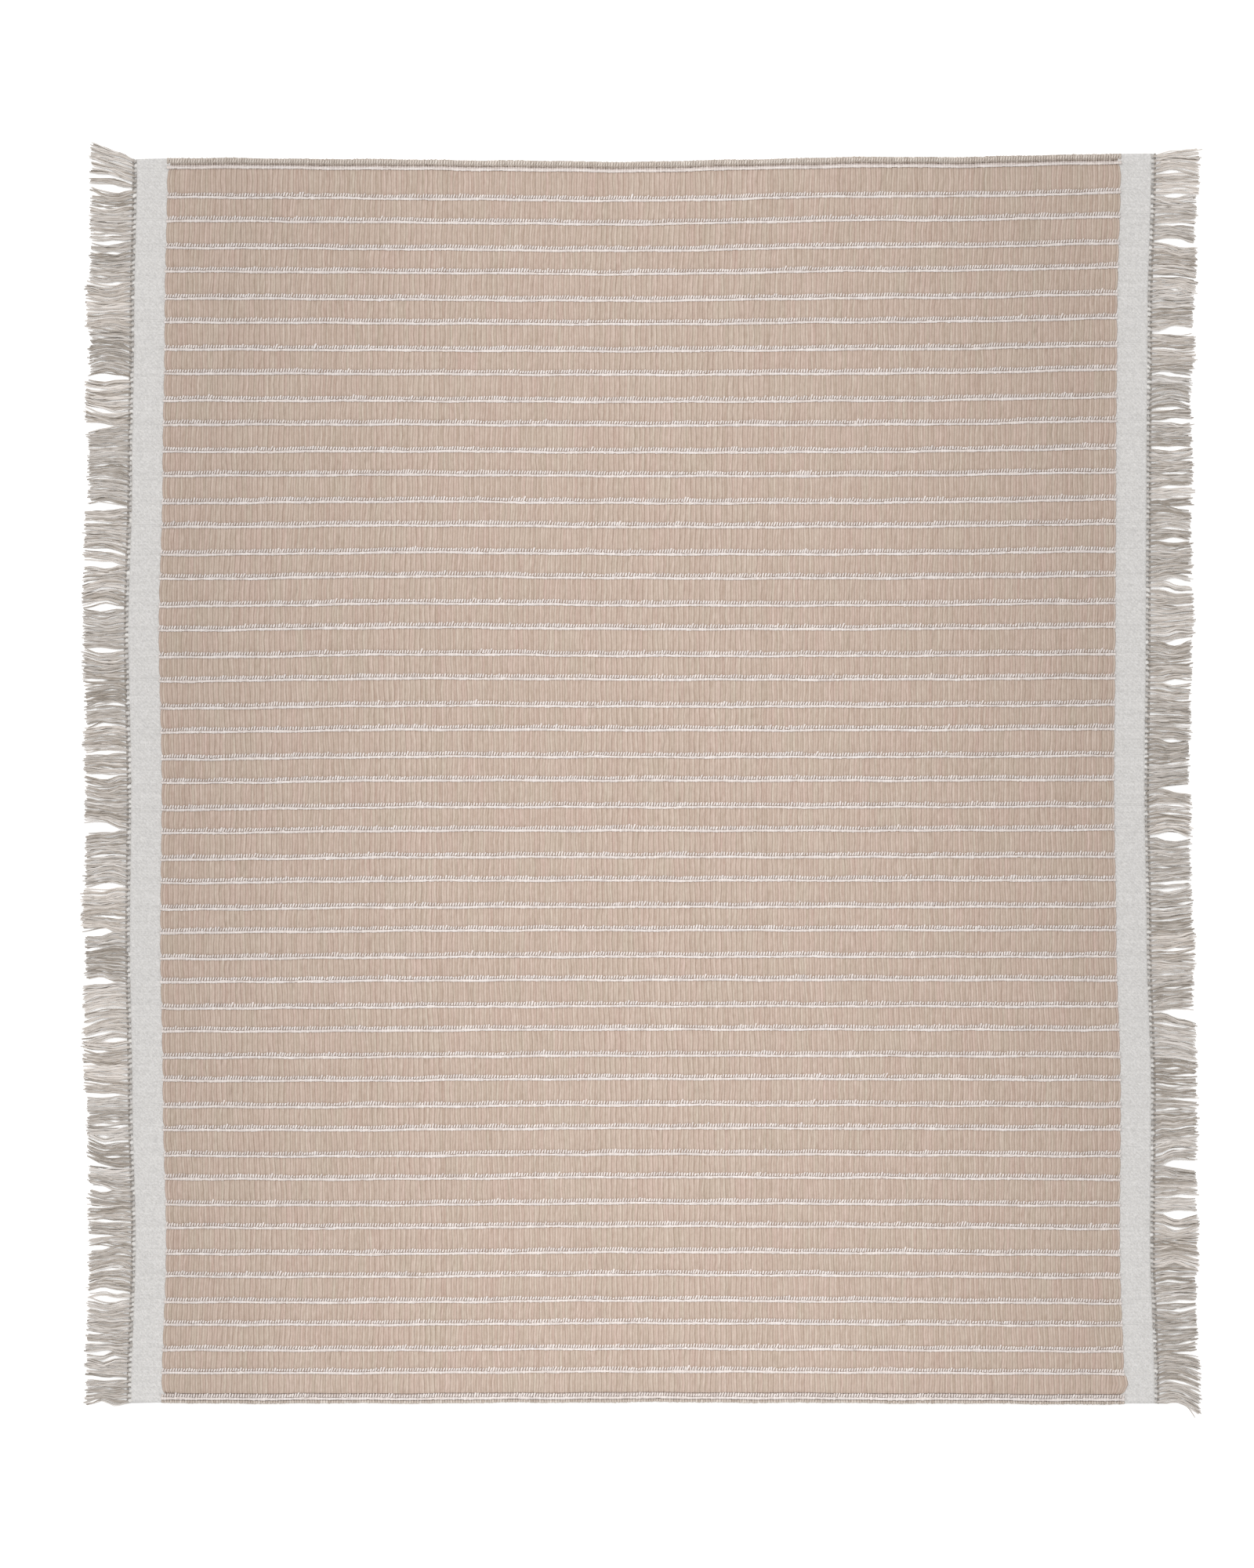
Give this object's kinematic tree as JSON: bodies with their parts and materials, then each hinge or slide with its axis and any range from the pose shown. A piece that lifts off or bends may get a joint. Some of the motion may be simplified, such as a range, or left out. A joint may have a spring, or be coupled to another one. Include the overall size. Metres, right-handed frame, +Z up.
{
  "type": "bath mat",
  "caption": "Flat-woven cotton bath mat: ribbed beige weft crossed by thin cream warp stripes, plain-woven end bands and a knotted fringe at both ends.",
  "frame": {"origin": "middle of the underside, on the floor", "axes": "+Z up out of the floor; +X along the warp, from the left fringe to the right fringe; +Y along the weft, from the bottom selvedge to the top selvedge"},
  "size_m": [0.5356, 0.6104, 0.0034],
  "materials": {
    "weft_cotton": "matte ribbed beige cotton weft",
    "cream_warp": "matte cream cotton warp",
    "plain_weave_cotton": "matte off-white plain weave",
    "selvedge_cotton": "matte greige cotton edge cord",
    "fringe_cotton": "matte pale grey-beige cotton yarn"
  },
  "bodies": {
    "root": {"weft_field": "weft_cotton", "warp_stripe_01": "cream_warp", "warp_stripe_02": "cream_warp", "warp_stripe_03": "cream_warp", "warp_stripe_04": "cream_warp", "warp_stripe_05": "cream_warp", "warp_stripe_06": "cream_warp", "warp_stripe_07": "cream_warp", "warp_stripe_08": "cream_warp", "warp_stripe_09": "cream_warp", "warp_stripe_10": "cream_warp", "warp_stripe_11": "cream_warp", "warp_stripe_12": "cream_warp", "warp_stripe_13": "cream_warp", "warp_stripe_14": "cream_warp", "warp_stripe_15": "cream_warp", "warp_stripe_16": "cream_warp", "warp_stripe_17": "cream_warp", "warp_stripe_18": "cream_warp", "warp_stripe_19": "cream_warp", "warp_stripe_20": "cream_warp", "warp_stripe_21": "cream_warp", "warp_stripe_22": "cream_warp", "warp_stripe_23": "cream_warp", "warp_stripe_24": "cream_warp", "warp_stripe_25": "cream_warp", "warp_stripe_26": "cream_warp", "warp_stripe_27": "cream_warp", "warp_stripe_28": "cream_warp", "warp_stripe_29": "cream_warp", "warp_stripe_30": "cream_warp", "warp_stripe_31": "cream_warp", "warp_stripe_32": "cream_warp", "warp_stripe_33": "cream_warp", "warp_stripe_34": "cream_warp", "warp_stripe_35": "cream_warp", "warp_stripe_36": "cream_warp", "warp_stripe_37": "cream_warp", "warp_stripe_38": "cream_warp", "warp_stripe_39": "cream_warp", "warp_stripe_40": "cream_warp", "warp_stripe_41": "cream_warp", "warp_stripe_42": "cream_warp", "warp_stripe_43": "cream_warp", "warp_stripe_44": "cream_warp", "warp_stripe_45": "cream_warp", "warp_stripe_46": "cream_warp", "warp_stripe_47": "cream_warp", "warp_stripe_48": "cream_warp", "top_edge_stripe": "cream_warp", "bottom_edge_stripe": "cream_warp", "top_selvedge": "selvedge_cotton", "bottom_selvedge": "selvedge_cotton", "left_end_band": "plain_weave_cotton", "right_end_band": "plain_weave_cotton", "left_knots": "fringe_cotton", "right_knots": "fringe_cotton", "left_fringe": "fringe_cotton", "right_fringe": "fringe_cotton"}
  },
  "joints": []
}
